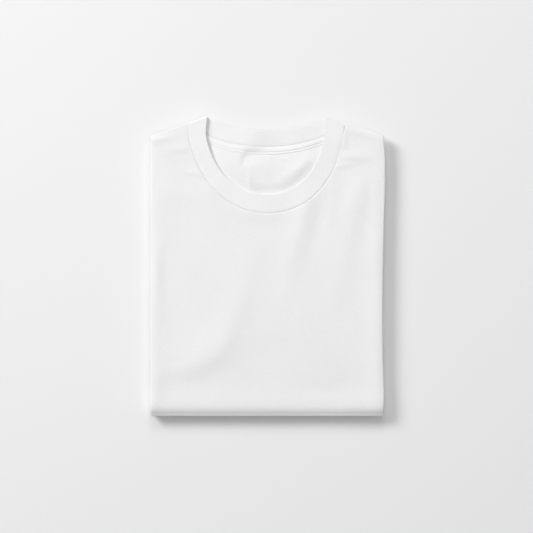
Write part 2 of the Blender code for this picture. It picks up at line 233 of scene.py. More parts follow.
def knit_material(name, colour, wale, course, depth):
    """White cotton knit: columns of small V stitches, a nap of loose fibres, threads a little
    thicker and thinner along each row, and a slow unevenness of colour."""
    material = bpy.data.materials.new(name)
    nodes = Nodes(material)
    shader = nodes.shader
    shader.inputs["Roughness"].default_value = KNIT_ROUGHNESS
    shader.inputs["Specular IOR Level"].default_value = KNIT_SPECULAR
    shader.inputs["Sheen Weight"].default_value = KNIT_SHEEN
    shader.inputs["Sheen Roughness"].default_value = SHEEN_ROUGHNESS

    place = nodes.add("ShaderNodeTexCoord").outputs["Object"]
    warp = nodes.add("ShaderNodeTexNoise", {"Vector": place, "Scale": WANDER_SCALE, "Detail": 1.0})
    shift = nodes.add(
        "ShaderNodeVectorMath",
        {0: warp.outputs["Color"], 1: (wale * WANDER_WALES, wale * WANDER_WALES, 0.0)},
        operation="MULTIPLY",
    )
    laid = nodes.add("ShaderNodeVectorMath", {0: place, 1: shift.outputs[0]}, operation="ADD")
    axes = nodes.add("ShaderNodeSeparateXYZ", {0: laid.outputs[0]}).outputs
    in_wale = nodes.math("FRACT", nodes.math("DIVIDE", axes["X"], wale))
    off_middle = nodes.math("ABSOLUTE", nodes.math("SUBTRACT", in_wale, 0.5))
    lean = nodes.math("MULTIPLY", off_middle, STITCH_LEAN)
    along = nodes.math("ADD", nodes.math("DIVIDE", axes["Y"], course), lean)
    loop = nodes.math("SINE", nodes.math("MULTIPLY", along, 2.0 * math.pi))
    column = nodes.math("COSINE", nodes.math("MULTIPLY", off_middle, 2.0 * math.pi))
    loops = nodes.math("MULTIPLY", loop, LOOP_RELIEF)
    relief = nodes.math("ADD", loops, nodes.math("MULTIPLY", column, COLUMN_RELIEF))
    fibres = nodes.add("ShaderNodeTexNoise", {"Vector": place, "Scale": FIBRE_SCALE, "Detail": 3.0})
    nap = nodes.math("MULTIPLY", fibres.outputs["Fac"], FIBRE_RELIEF)
    relief = nodes.math("ADD", relief, nap)
    bump_inputs = {"Height": relief, "Strength": BUMP_STRENGTH, "Distance": depth}
    bump = nodes.add("ShaderNodeBump", bump_inputs)
    nodes.tree.links.new(bump.outputs["Normal"], shader.inputs["Normal"])

    threads = nodes.add("ShaderNodeMapping", {"Vector": place, "Scale": THREAD_STRETCH})
    stretched = threads.outputs["Vector"]
    uneven = nodes.add(
        "ShaderNodeTexNoise", {"Vector": stretched, "Scale": THREAD_SCALE, "Detail": 2.0}
    )
    cloud = nodes.add("ShaderNodeTexNoise", {"Vector": place, "Scale": CLOUD_SCALE, "Detail": 4.0})
    thick_and_thin = nodes.math("MULTIPLY", uneven.outputs["Fac"], THREAD_SHADE)
    shade = nodes.math("ADD", thick_and_thin, cloud.outputs["Fac"])
    shade = nodes.math("SUBTRACT", shade, SHADE_OFFSET)
    darker = tuple(channel * (1.0 - KNIT_MOTTLE * 2.0) for channel in colour)
    tint = nodes.add("ShaderNodeMix", {"Factor": shade}, data_type="RGBA")
    tint.inputs["A"].default_value = (*darker, 1.0)
    tint.inputs["B"].default_value = (*colour, 1.0)
    nodes.tree.links.new(tint.outputs["Result"], shader.inputs["Base Color"])
    return material


WHITE_JERSEY = (0.829, 0.830, 0.830)
WALE = 0.00095
COURSE = 0.00072
jersey_inside = knit_material("white_jersey_inside", WHITE_JERSEY, WALE, COURSE, 0.00009)

LAYERS_START = -0.1625
LAYERS = (
    # bottom, top, inset from the sides, setback at the neck end, share of the shoulder line
    (0.00160, 0.00290, 0.0072, 0.0012, 0.0),
    (0.00300, 0.00430, 0.0062, 0.0030, 0.0),
    (0.00440, 0.00570, 0.0070, 0.0016, 0.0),
    (0.00690, 0.00780, 0.0136, 0.0080, 0.6),
    (0.00790, 0.00920, 0.0104, 0.0092, 1.0),
    (0.00930, 0.01080, 0.0104, 0.0090, 1.0),
    (0.01150, 0.01230, 0.0054, 0.0098, 1.0),
)
LAYER_ROUNDING = 0.0006
ROUNDING_RISE = 0.3
ROUNDING_SET_BACK = 0.6
LAYER_GROOVE = 0.0016
SIDE_GROOVE_SHARE = 0.4
SIDE_POINTS = 60
END_POINTS = 140
NEAR_POINTS = 40
NEAR_CORNER = 0.004
NECK_CORNER = 0.012
END_INSET = 0.0012
END_MIDDLE_Y = 0.1480
END_RISE = 0.0200
END_RISE_RUN = 0.100
END_WAVES = (
    # height, waves per metre times two pi, share of the layer's own shift
    (0.0005, 61.0, 1.0),
    (0.0003, 187.0, 2.0),
)
PRESSED_FROM = 0.0150
PRESSED_SHARE = 0.2
LID_INSETS = (0.0060, 0.0120, 0.0300, 0.0500, 0.0700, 0.0950, 0.1200)
LID_SETBACK = 0.0070
WAVE_SHIFT = 1.7


def layer_plan(inset, setback, shoulder_share, wave):
    """Outline of one folded layer, anticlockwise from its near right corner."""
    near = LAYERS_START + inset
    left = LEFT_EDGE + inset
    side = np.linspace(near + NEAR_CORNER, CORNER[1] - NECK_CORNER - setback, SIDE_POINTS)
    right = curve_through(RIGHT_EDGE, side) - inset
    across = np.linspace(right[-1] - END_INSET, left + END_INSET, END_POINTS)
    outward = np.clip(np.abs(across - NECK[0]) / END_RISE_RUN, 0.0, 1.0)
    neck_end = END_MIDDLE_Y + END_RISE * outward**2
    shoulder = np.minimum(shoulder_line(across), neck_end)
    end = HEM + (shoulder - HEM) * shoulder_share - setback
    for height, pace, shift in END_WAVES:
        end = end + height * np.sin(across * pace + shift * wave)
    near_x = np.linspace(left + NEAR_CORNER, right[0] - NEAR_CORNER, NEAR_POINTS)
    x = np.concatenate([right, across, np.full(SIDE_POINTS, left), near_x])
    y = np.concatenate([side, end, side[::-1], np.full(NEAR_POINTS, near)])
    return x, y


def pressed(x, y, height):
    """Height of a layer's edge, pressed down where the back panel over it is lower."""
    top = back_height(x, y) - JERSEY - 2.0 * SEAM_GAP
    return np.minimum(height, top - PRESSED_SHARE * (PRESSED_FROM - height))


rings = []
for number, (bottom, top, inset, setback, share) in enumerate(LAYERS):
    for height, extra in (
        (bottom, LAYER_GROOVE),
        (bottom + LAYER_ROUNDING * ROUNDING_RISE, LAYER_ROUNDING * ROUNDING_SET_BACK),
        (bottom + LAYER_ROUNDING, 0.0),
        (top - LAYER_ROUNDING, 0.0),
        (top - LAYER_ROUNDING * ROUNDING_RISE, LAYER_ROUNDING * ROUNDING_SET_BACK),
        (top, LAYER_GROOVE),
    ):
        side_inset = inset + extra * SIDE_GROOVE_SHARE
        x, y = layer_plan(side_inset, setback + extra, share, WAVE_SHIFT * number)
        rings.append(np.column_stack([x, y, pressed(x, y, height)]))
for inset in LID_INSETS:
    x, y = layer_plan(inset, LID_SETBACK + inset, 1.0, 0.0)
    rings.append(np.column_stack([x, y, back_height(x, y) - JERSEY - 2.0 * SEAM_GAP]))
size = len(rings[0])
faces = []
for level in range(len(rings) - 1):
    low = level * size
    for k in range(size):
        after = (k + 1) % size
        faces.append((low + k, low + after, low + size + after, low + size + k))
faces.append(tuple(range(size - 1, -1, -1)))
faces.append(tuple(range((len(rings) - 1) * size, len(rings) * size)))
hidden_layers = piece_from(
    "hidden_layers_cloth", np.concatenate(rings), faces, jersey_inside, sharp_degrees=75
)
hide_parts("folded_layers")
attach(hidden_layers, "root")


# Back panel
# The back of the shirt, one panel of white single jersey cut to a shallow neckline. It lies
# under the front, shows its inner face through the neck, and its shoulder edges are sewn to
# the front's.

BACK_SEAM_DIP = 0.1410
BACK_LOWER = -0.1500
BACK_HALF = 0.1301
BACK_SEAM_END = 0.0032
BACK_SEAM_BEND = 2.2
NECK_SWELL = 0.0010
SWELL_FROM = 0.0215
SWELL_RUN = 0.0150
BACK_RIPPLE_SEED = 11
BACK_RIPPLE = 0.00010
BACK_RIPPLE_LENGTHS = (0.030, 0.021, 0.044)
RIPPLE_BEND = 0.25
RIPPLE_BEND_LENGTH = 3.1
BACK_ROWS = 150
BACK_COLUMNS = 190
BACK_ROW_CROWDING = 1.6
BACK_CREASES = (
    # axis it runs along, then rows of: place on it, crest, half widths below and above, height
    ("y", (
        (0.1170, -0.0300, 0.0030, 0.0120, 0.0000),
        (0.1230, -0.0282, 0.0030, 0.0160, -0.0007),
        (0.1290, -0.0252, 0.0045, 0.0160, -0.0012),
        (0.1340, -0.0222, 0.0065, 0.0160, -0.0011),
        (0.1420, -0.0195, 0.0075, 0.0120, 0.0000),
    )),
    ("y", (
        (0.0850, -0.0195, 0.0030, 0.0026, 0.0000),
        (0.0950, -0.0205, 0.0030, 0.0026, 0.0005),
        (0.1080, -0.0215, 0.0030, 0.0026, 0.0004),
        (0.1180, -0.0220, 0.0030, 0.0026, 0.0000),
    )),
    ("x", (
        (0.0060, 0.0970, 0.0130, 0.0110, 0.0000),
        (0.0210, 0.1060, 0.0130, 0.0110, 0.0008),
        (0.0360, 0.1145, 0.0125, 0.0110, 0.0012),
        (0.0510, 0.1235, 0.0105, 0.0100, 0.0009),
        (0.0680, 0.1330, 0.0080, 0.0080, 0.0000),
    )),
    ("x", (
        (0.0130, 0.1265, 0.0020, 0.0020, 0.0000),
        (0.0200, 0.1272, 0.0020, 0.0020, 0.0003),
        (0.0270, 0.1262, 0.0020, 0.0020, 0.0000),
    )),
    ("x", (
        (-0.0190, 0.0840, 0.0060, 0.0080, 0.0000),
        (-0.0130, 0.0845, 0.0060, 0.0080, -0.0007),
        (-0.0040, 0.0845, 0.0060, 0.0080, -0.0006),
        (0.0080, 0.0850, 0.0060, 0.0080, 0.0000),
    )),
    ("x", (
        (-0.0440, 0.1430, 0.0110, 0.0200, 0.0000),
        (-0.0260, 0.1425, 0.0100, 0.0200, 0.0012),
        (-0.0160, 0.1425, 0.0085, 0.0200, 0.0012),
        (0.0000, 0.1425, 0.0080, 0.0200, 0.0000),
    )),
)


def fold_height(x, y, fold):
    """Height that one soft fold or crease adds. Its two sides fall off at their own widths."""
    axis, rows = fold
    along, across = (x, y) if axis == "x" else (y, x)
    places, *columns = np.array(rows).T
    crest, below, above, height = (
        curve_through(np.column_stack([places, column]), along) for column in columns
    )
    offset = across - crest
    return height * np.exp(-((offset / np.where(offset < 0.0, below, above)) ** 2))


def soft_unevenness(x, y, seed, height, lengths):
    """Slow ripples of pressed cloth: a sum of waves in scattered directions."""
    draw = np.random.default_rng(seed)
    total = np.zeros(np.shape(x))
    for length in lengths:
        direction = draw.uniform(0.0, math.pi)
        phase = draw.uniform(0.0, 2.0 * math.pi)
        run = x * math.cos(direction) + y * math.sin(direction)
        bend_run = RIPPLE_BEND_LENGTH * length
        bend = RIPPLE_BEND * length * np.sin(2.0 * math.pi * (x - y) / bend_run + phase)
        total = total + np.sin(2.0 * math.pi * (run + bend) / length + phase) * length
    return height * total / sum(lengths)


def back_seam(x):
    share = np.clip(np.abs(x - NECK[0]) / SHOULDER_X, 0.0, 1.0)
    end = CORNER[1] + (CORNER[0] - SHOULDER_X) * SHOULDER_SLOPE - BACK_SEAM_END
    return BACK_SEAM_DIP + (end - BACK_SEAM_DIP) * share**BACK_SEAM_BEND


def back_face(x, y):
    swell = NECK_SWELL * ease((-SWELL_FROM - from_seam(x, y)) / SWELL_RUN)
    ripples = soft_unevenness(x, y, BACK_RIPPLE_SEED, BACK_RIPPLE, BACK_RIPPLE_LENGTHS)
    height = back_height(x, y) + swell + ripples
    for crease in BACK_CREASES:
        height = height + fold_height(x, y, crease)
    return height


def grid_quads(rows, columns):
    corner = np.arange(rows * columns).reshape(rows, columns)[:-1, :-1].ravel()
    return [(a, a + columns, a + columns + 1, a + 1) for a in corner.tolist()]


def thicken(points, faces, wall):
    """Closed shell of cloth: the sheet of faces, a copy of it one wall inward, and its rim."""
    points = np.asarray(points, float)
    corners = np.array([face[:3] for face in faces])
    a, b, c = points[corners[:, 0]], points[corners[:, 1]], points[corners[:, 2]]
    face_normals = np.cross(b - a, c - a)
    normals = np.zeros_like(points)
    for face, normal in zip(faces, face_normals):
        for corner in face:
            normals[corner] += normal
    normals /= np.linalg.norm(normals, axis=1, keepdims=True) + 1e-15
    count = len(points)
    closed = list(faces) + [tuple(corner + count for corner in face[::-1]) for face in faces]
    edges = {pair for face in faces for pair in zip(face, face[1:] + face[:1])}
    for start, end in sorted(edges):
        if (end, start) not in edges:
            closed.append((end, start, start + count, end + count))
    return np.concatenate([points, points - normals * wall]), closed


columns = np.linspace(-BACK_HALF, BACK_HALF, BACK_COLUMNS)
in_neck = np.abs(columns - NECK[0]) < SHOULDER_X
ends = np.where(in_neck, back_seam(columns) - SEAM_GAP, shoulder_line(columns) - SEAM_GAP)
sheet_rows = []
for share in np.linspace(0.0, 1.0, BACK_ROWS) ** BACK_ROW_CROWDING:
    y = ends + (BACK_LOWER - ends) * share
    sheet_rows.append(np.column_stack([columns, y, back_face(columns, y)]))
quads = grid_quads(BACK_ROWS, BACK_COLUMNS)
points, faces = thicken(np.concatenate(sheet_rows), quads, JERSEY)
back_cloth = piece_from("back_panel_cloth", points, faces, jersey_inside)
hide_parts("back_panel")
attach(back_cloth, "root")


# Neck tape
# A narrow strip of white cotton laid over the seam of the back neckline, so that the seam
# doesn't rub. It is stitched down along both edges, which draws a groove along each row.

TAPE_HALF = 0.0820
TAPE_SETBACK = 0.0001
TAPE_SECTION = (
    # distance from the upper edge, height over the back panel
    (0.0000, 0.00060),
    (0.0005, 0.00078),
    (0.0009, 0.00076),
    (0.0016, 0.00086),
    (0.0030, 0.00098),
    (0.0044, 0.00095),
    (0.0054, 0.00080),
    (0.0061, 0.00060),
    (0.0067, 0.00028),
    (0.0072, 0.00048),
    (0.0079, 0.00048),
    (0.0086, 0.00034),
    (0.0091, 0.00005),
)
TAPE_WALL = 0.00025
TAPE_POINTS = 700
TAPE_RUNS = np.concatenate([np.linspace(0.0, 0.0087, 30), [0.0089, 0.0091]])
TAPE_PRESSED = 0.55
TAPE_RISES_FROM = -0.030
TAPE_RISE_RUN = 0.070
STITCH_PITCH = 0.0024
STITCH_ROWS = (0.0009, 0.0067)
NEEDLE_PULL = 0.00014
PULL_HALF_WIDTH = 0.0005
TAPE_WHITE = (0.860, 0.860, 0.860)
white_tape = knit_material("white_tape", TAPE_WHITE, 0.0005, 0.0004, 0.00005)


def tape_point(x, distance):
    """Point on the tape's upper face, at a distance down from its upper edge."""
    y = back_seam(x) - TAPE_SETBACK - distance
    free = ease((x - TAPE_RISES_FROM) / TAPE_RISE_RUN)
    height = curve_through(TAPE_SECTION, distance) * (TAPE_PRESSED + (1.0 - TAPE_PRESSED) * free)
    stitched = np.cos(2.0 * math.pi * (x - NECK[0] + TAPE_HALF) / STITCH_PITCH)
    for row in STITCH_ROWS:
        near_row = np.exp(-(((distance - row) / PULL_HALF_WIDTH) ** 2))
        height = height + NEEDLE_PULL * stitched * near_row
    return y, back_face(x, y) + height


tape_x = np.linspace(-TAPE_HALF, TAPE_HALF, TAPE_POINTS) + NECK[0]
sheet_rows = []
for distance in TAPE_RUNS:
    y, z = tape_point(tape_x, distance)
    sheet_rows.append(np.column_stack([tape_x, y, z]))
quads = grid_quads(len(TAPE_RUNS), TAPE_POINTS)
points, faces = thicken(np.concatenate(sheet_rows), quads, TAPE_WALL)
tape = piece_from("neck_tape_strip", points, faces, white_tape)
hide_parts("neck_tape")
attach(tape, "root")


STITCH_REACH = 0.42
THREAD_LIFT = 0.00008
THREAD_SAG = 0.00012
THREAD_RADIUS = 0.00014
THREAD_AT_HOLES = 0.45
THREAD_SIDES = 6
THREAD_STEPS = 6
THREAD_WHITE = (0.79, 0.79, 0.79)


def stitch(start, end, sag, radius):
    """One stitch of thread, arched over the cloth between two needle holes."""
    start = np.array(start)
    end = np.array(end)
    along = (end - start) / np.linalg.norm(end - start)
    across = np.cross(along, (0.0, 0.0, 1.0))
    across /= np.linalg.norm(across)
    up = np.cross(across, along)
    sides, steps = THREAD_SIDES, THREAD_STEPS
    points = []
    for step in range(steps + 1):
        share = step / steps
        arch = math.sin(math.pi * share)
        centre = start + (end - start) * share + up * (arch - 1.0) * sag
        thick = radius * (THREAD_AT_HOLES + (1.0 - THREAD_AT_HOLES) * arch**0.5)
        for side in range(sides):
            turn = 2.0 * math.pi * side / sides
            points.append(centre + (across * math.cos(turn) + up * math.sin(turn)) * thick)
    faces = [tuple(range(sides)), tuple(range(steps * sides + sides - 1, steps * sides - 1, -1))]
    for step in range(steps):
        for side in range(sides):
            after = (side + 1) % sides
            low = step * sides
            faces.append((low + side, low + sides + side, low + sides + after, low + after))
    return points, faces


def stitches_piece(name, lines, sag, radius, material):
    """All stitches of a row or rows as one piece."""
    points = []
    faces = []
    for start, end in lines:
        more, quads = stitch(start, end, sag, radius)
        faces += [tuple(corner + len(points) for corner in quad) for quad in quads]
        points += more
    return piece_from(name, points, faces, material)


cotton_thread = knit_material("white_thread", THREAD_WHITE, 0.0003, 0.0002, 0.00003)
lines = []
for row in STITCH_ROWS:
    for middle in np.arange(-TAPE_HALF + STITCH_PITCH, TAPE_HALF - STITCH_PITCH, STITCH_PITCH):
        reach = STITCH_PITCH * STITCH_REACH
        x = np.array([middle - reach, middle + reach]) + NECK[0]
        y, z = tape_point(x, row)
        lines.append(tuple((x[k], y[k], z[k] + THREAD_LIFT) for k in (0, 1)))
tape_stitches = stitches_piece(
    "neck_tape_stitches", lines, THREAD_SAG, THREAD_RADIUS, cotton_thread
)
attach(tape_stitches, "root")


# Neckband
# One strip of white one-by-one rib, folded double, closed to a ring and overlocked to the
# neckline. It lies flat on the front, turns over at the two shoulders, and stands up a little
# behind the neck.

BAND_THICK = 0.0017
BAND_RISE = 0.0004
BAND_TURN = 0.0020
BAND_TURN_OUT = 0.0001
BAND_EDGE = BAND_TURN_OUT + BAND_THICK / 2
BAND_PEAK = (0.0704, 0.1776)
BACK_EDGE_DIP = 0.1601
BACK_EDGE_CURL = 0.0012
CURL_X = -0.0130
CURL_HALF_WIDTH = 0.0280
BACK_EDGE_BEND = 1.9
BACK_EDGE_END = 2.5
LIFT_FROM = {-1: 0.42, 1: 0.58}
LIFT_TO = 0.94
BACK_END = 0.9
BACK_SEAM_SINK = 0.0004
SEAM_ROUNDING = 0.0030
SEAM_FALL = 0.55
SIDE_SEAM_FALL = 0.30
SIDE_FROM = 0.55
SIDE_RUN = 0.40
SEAM_MARGIN = -0.0001
FREE_ROUNDING = 0.0004
FREE_UNDERCUT = 0.0011
RIB_PITCH = 0.0013
RIB_RELIEF = 0.00003
RIB_WHITE = (0.836, 0.837, 0.837)
POINTS_PER_RIB = 4
ROUNDED_POINTS = 8
BODY_POINTS = 13
FOLD_POINTS = 15
FRONT_STATIONS = 61
BACK_STATIONS = 41
SHOULDER_STATIONS = 9
FRONT_RIPPLE_SEED = 5
FRONT_RIPPLE = 0.00012
FRONT_RIPPLE_LENGTHS = (0.055, 0.083, 0.047)
FRONT_FOLDS = (
    # axis it runs along, then rows of: place on it, crest, half widths below and above, height
    ("y", (
        (-0.1400, -0.1020, 0.034, 0.024, 0.0000),
        (-0.1270, -0.0890, 0.040, 0.028, 0.0007),
        (-0.1148, -0.0735, 0.037, 0.023, 0.0014),
        (-0.0958, -0.0560, 0.034, 0.017, 0.0015),
        (-0.0674, -0.0415, 0.028, 0.014, 0.0012),
        (-0.0363, -0.0320, 0.018, 0.013, 0.0008),
        (-0.0100, -0.0250, 0.013, 0.012, 0.0005),
        (0.0190, -0.0200, 0.010, 0.012, 0.0003),
        (0.0500, -0.0190, 0.010, 0.012, 0.0000),
    )),
    ("y", (
        (-0.1500, -0.0900, 0.040, 0.050, 0.0000),
        (-0.1077, -0.0616, 0.050, 0.050, 0.0007),
        (-0.0500, -0.0320, 0.050, 0.060, 0.0007),
        (0.0000, -0.0220, 0.050, 0.050, 0.0005),
        (0.0500, -0.0200, 0.040, 0.050, 0.0000),
    )),
    ("y", (
        (-0.1400, 0.0950, 0.020, 0.014, 0.0000),
        (-0.1180, 0.0770, 0.020, 0.014, 0.0007),
        (-0.0960, 0.0600, 0.018, 0.014, 0.0011),
        (-0.0660, 0.0400, 0.016, 0.014, 0.0010),
        (-0.0350, 0.0270, 0.014, 0.014, 0.0008),
        (-0.0035, 0.0265, 0.014, 0.015, 0.0007),
        (0.0170, 0.0325, 0.014, 0.014, 0.0009),
        (0.0450, 0.0385, 0.012, 0.012, 0.0011),
        (0.0700, 0.0450, 0.011, 0.011, 0.0012),
        (0.0850, 0.0500, 0.010, 0.010, 0.0008),
        (0.0980, 0.0560, 0.010, 0.008, 0.0000),
    )),
    ("y", (
        (-0.0400, 0.0400, 0.010, 0.010, 0.0000),
        (-0.0050, 0.0430, 0.012, 0.010, -0.0002),
        (0.0170, 0.0500, 0.012, 0.009, -0.0003),
        (0.0450, 0.0590, 0.009, 0.009, -0.0005),
        (0.0700, 0.0650, 0.009, 0.009, -0.0004),
        (0.0950, 0.0690, 0.009, 0.009, 0.0000),
    )),
    ("y", (
        (-0.0700, 0.0720, 0.016, 0.012, 0.0000),
        (-0.0402, 0.0780, 0.017, 0.013, 0.0004),
        (-0.0130, 0.0840, 0.017, 0.013, 0.0006),
        (0.0106, 0.0895, 0.017, 0.013, 0.0006),
        (0.0426, 0.0965, 0.017, 0.013, 0.0008),
        (0.0698, 0.1035, 0.016, 0.012, 0.0011),
        (0.0900, 0.1080, 0.015, 0.012, 0.0012),
        (0.1200, 0.1110, 0.014, 0.010, 0.0000),
    )),
    ("y", (
        (0.0520, 0.0850, 0.006, 0.012, 0.0000),
        (0.0700, 0.0850, 0.006, 0.012, -0.0003),
        (0.0850, 0.0860, 0.006, 0.012, -0.0003),
        (0.1040, 0.0880, 0.006, 0.012, 0.0000),
    )),
    ("y", (
        (0.0200, -0.0690, 0.010, 0.024, 0.0000),
        (0.0600, -0.0690, 0.010, 0.024, 0.0004),
        (0.0900, -0.0710, 0.010, 0.024, 0.0005),
        (0.1150, -0.0730, 0.010, 0.024, 0.0000),
    )),
    ("y", (
        (-0.1900, -0.1365, 0.007, 0.008, 0.0010),
        (-0.1650, -0.1345, 0.007, 0.008, 0.0010),
        (-0.1400, -0.1318, 0.007, 0.010, 0.0009),
        (-0.0850, -0.1315, 0.007, 0.016, 0.0007),
        (-0.0400, -0.1315, 0.007, 0.009, 0.0012),
        (-0.0150, -0.1315, 0.007, 0.008, 0.0015),
        (0.0150, -0.1315, 0.007, 0.009, 0.0012),
        (0.0450, -0.1315, 0.007, 0.020, 0.0008),
        (0.1350, -0.1315, 0.007, 0.024, 0.0006),
    )),
    ("y", (
        (-0.1900, 0.1310, 0.013, 0.006, 0.0013),
        (-0.0600, 0.1310, 0.013, 0.006, 0.0014),
        (0.0200, 0.1310, 0.012, 0.006, 0.0012),
        (0.0600, 0.1310, 0.009, 0.006, 0.0008),
        (0.1400, 0.1310, 0.009, 0.006, 0.0004),
    )),
    ("y", (
        (-0.1780, 0.1357, 0.0012, 0.0016, 0.0003),
        (-0.1600, 0.1361, 0.0012, 0.0016, 0.0003),
        (-0.1400, 0.1364, 0.0012, 0.0016, 0.0000),
    )),
    ("x", (
        (-0.1500, -0.1650, 0.010, 0.012, 0.0007),
        (-0.1150, -0.1650, 0.010, 0.012, 0.0004),
        (-0.0500, -0.1650, 0.010, 0.012, 0.0001),
        (0.0700, -0.1650, 0.010, 0.012, 0.0001),
        (0.1150, -0.1650, 0.010, 0.016, 0.0007),
        (0.1500, -0.1650, 0.010, 0.016, 0.0007),
    )),
    ("x", (
        (0.0280, -0.1400, 0.020, 0.011, 0.0000),
        (0.0480, -0.1430, 0.020, 0.011, -0.0007),
        (0.0740, -0.1500, 0.020, 0.011, -0.0009),
        (0.0980, -0.1540, 0.020, 0.011, 0.0000),
    )),
    ("x", (
        (-0.1400, 0.1490, 0.005, 0.004, 0.0005),
        (-0.1300, 0.1500, 0.005, 0.004, 0.0007),
        (-0.1150, 0.1530, 0.005, 0.004, 0.0004),
        (-0.1000, 0.1560, 0.004, 0.004, 0.0000),
    )),
    ("x", (
        (-0.1320, 0.1385, 0.004, 0.005, 0.0000),
        (-0.1130, 0.1385, 0.004, 0.005, 0.0004),
        (-0.0980, 0.1380, 0.004, 0.005, 0.0005),
        (-0.0900, 0.1378, 0.004, 0.005, 0.0000),
    )),
    ("x", (
        (-0.1080, 0.1120, 0.004, 0.005, 0.0000),
        (-0.0930, 0.1115, 0.004, 0.005, 0.0004),
        (-0.0800, 0.1080, 0.003, 0.005, 0.0006),
        (-0.0720, 0.1040, 0.003, 0.005, 0.0000),
    )),
    ("x", (
        (-0.1400, 0.0850, 0.016, 0.016, 0.0000),
        (-0.1200, 0.0850, 0.016, 0.016, 0.0004),
        (-0.1000, 0.0800, 0.016, 0.016, 0.0003),
        (-0.0750, 0.0750, 0.016, 0.016, 0.0000),
    )),
    ("x", (
        (0.0900, 0.1650, 0.005, 0.004, 0.0000),
        (0.1000, 0.1605, 0.005, 0.004, 0.0005),
        (0.1200, 0.1550, 0.005, 0.004, 0.0006),
        (0.1400, 0.1490, 0.005, 0.004, 0.0005),
    )),
    ("y", (
        (0.1350, 0.0900, 0.004, 0.006, 0.0000),
        (0.1450, 0.0902, 0.003, 0.0045, 0.0008),
        (0.1550, 0.0905, 0.003, 0.0045, 0.0008),
        (0.1700, 0.0910, 0.004, 0.006, 0.0002),
    )),
    ("x", (
        (0.0800, 0.1290, 0.005, 0.006, 0.0000),
        (0.0950, 0.1290, 0.004, 0.007, 0.0008),
        (0.1150, 0.1285, 0.005, 0.007, 0.0006),
        (0.1340, 0.1280, 0.005, 0.006, 0.0000),
    )),
    ("x", (
        (0.0760, 0.1150, 0.003, 0.004, 0.0000),
        (0.0860, 0.1180, 0.003, 0.004, 0.0005),
        (0.1000, 0.1210, 0.003, 0.004, 0.0003),
        (0.1180, 0.1230, 0.003, 0.004, 0.0000),
    )),
    ("x", (
        (-0.0550, 0.0700, 0.010, 0.030, 0.0000),
        (-0.0300, 0.0650, 0.010, 0.030, 0.0005),
        (0.0000, 0.0640, 0.010, 0.030, 0.0007),
        (0.0250, 0.0680, 0.010, 0.030, 0.0000),
    )),
)


def front_face(x, y):
    """Height of the front panel's outer face, without its turned edges."""
    ripples = soft_unevenness(x, y, FRONT_RIPPLE_SEED, FRONT_RIPPLE, FRONT_RIPPLE_LENGTHS)
    height = stack_height(x, y) + ripples
    for fold in FRONT_FOLDS:
        height = height + fold_height(x, y, fold)
    return height


def neckline_point(angle, column, margin=0.0):
    distance = float(neckline_distance(angle, column)) + margin
    return NECK[0] + distance * math.cos(angle), NECK[1] - distance * math.sin(angle)


def band_section(width, fall, undercut):
    """Section of the doubled rib, from its seam round its folded edge and back. Both faces
    fall toward the seam, where the overlock pulls them together, and the under one of the two
    is set back a little at the fold."""
    half = BAND_THICK / 2
    set_back = (max(-undercut, 0.0), max(undercut, 0.0))
    body = width + abs(undercut) / 2 - math.hypot(FREE_ROUNDING, undercut / 2)
    rounded = np.linspace(0.0, SEAM_ROUNDING, ROUNDED_POINTS)
    runs = np.concatenate([rounded, np.linspace(SEAM_ROUNDING, body, BODY_POINTS)[1:]])
    lift = half * (1.0 - fall * np.clip(1.0 - runs / SEAM_ROUNDING, 0.0, 1.0) ** 2)
    section = list(zip(runs * (1.0 - set_back[0] / body), lift))
    for turn in np.linspace(math.pi / 2, -math.pi / 2, FOLD_POINTS)[1:-1]:
        rise = math.sin(turn)
        pulled = set_back[0] * (1.0 + rise) / 2 + set_back[1] * (1.0 - rise) / 2
        section.append((body + FREE_ROUNDING * math.cos(turn) - pulled, half * rise))
    section += list(zip(runs[::-1] * (1.0 - set_back[1] / body), -lift[::-1]))
    return np.array(section)


def band_ring(seam, free, normal, fall, undercut):
    """One section of the band, set between its seam and its free edge."""
    seam = np.array(seam, float)
    width = np.linalg.norm(np.array(free) - seam)
    along = (np.array(free) - seam) / width
    normal = np.array(normal, float) - along * np.dot(normal, along)
    normal /= np.linalg.norm(normal)
    section = band_section(width, fall, undercut)
    return seam + section[:, :1] * along + section[:, 1:] * normal


def band_levels():
    top = STACK_TOP + BAND_RISE - BAND_THICK / 2
    return top, top - 2.0 * BAND_TURN


def front_band_ring(angle):
    filled = float(ease((abs(math.cos(angle)) - SIDE_FROM) / SIDE_RUN))
    rise = BAND_RISE * math.cos(angle) ** 2
    ends = []
    for column, margin, raised in ((1, SEAM_MARGIN, rise * (1.0 - filled)), (2, 0.0, rise)):
        x, y = neckline_point(angle, column, margin)
        ends.append((x, y, float(front_face(x, y)) + raised - BAND_THICK / 2))
    fall = SEAM_FALL + (SIDE_SEAM_FALL - SEAM_FALL) * filled
    return band_ring(ends[0], ends[1], (0.0, 0.0, 1.0), fall, FREE_UNDERCUT)


def shoulder_band_ring(side, setback, turn):
    top, low = band_levels()
    out = BAND_TURN_OUT * math.sin(turn) - setback
    height = (top + low) / 2 + BAND_TURN * math.cos(turn)
    filled = 1.0 - turn / math.pi
    seam_y = float(shoulder_line(SHOULDER_X)) + out
    seam = (NECK[0] + side * SHOULDER_X, seam_y, height - BAND_RISE * filled)
    free = (NECK[0] + side * BAND_PEAK[0], BAND_PEAK[1] + out, height)
    normal = (side * SHOULDER_SLOPE * math.sin(turn), math.sin(turn), math.cos(turn))
    fall = SEAM_FALL + (SIDE_SEAM_FALL - SEAM_FALL) * filled
    return band_ring(seam, free, normal, fall, FREE_UNDERCUT * math.cos(turn))


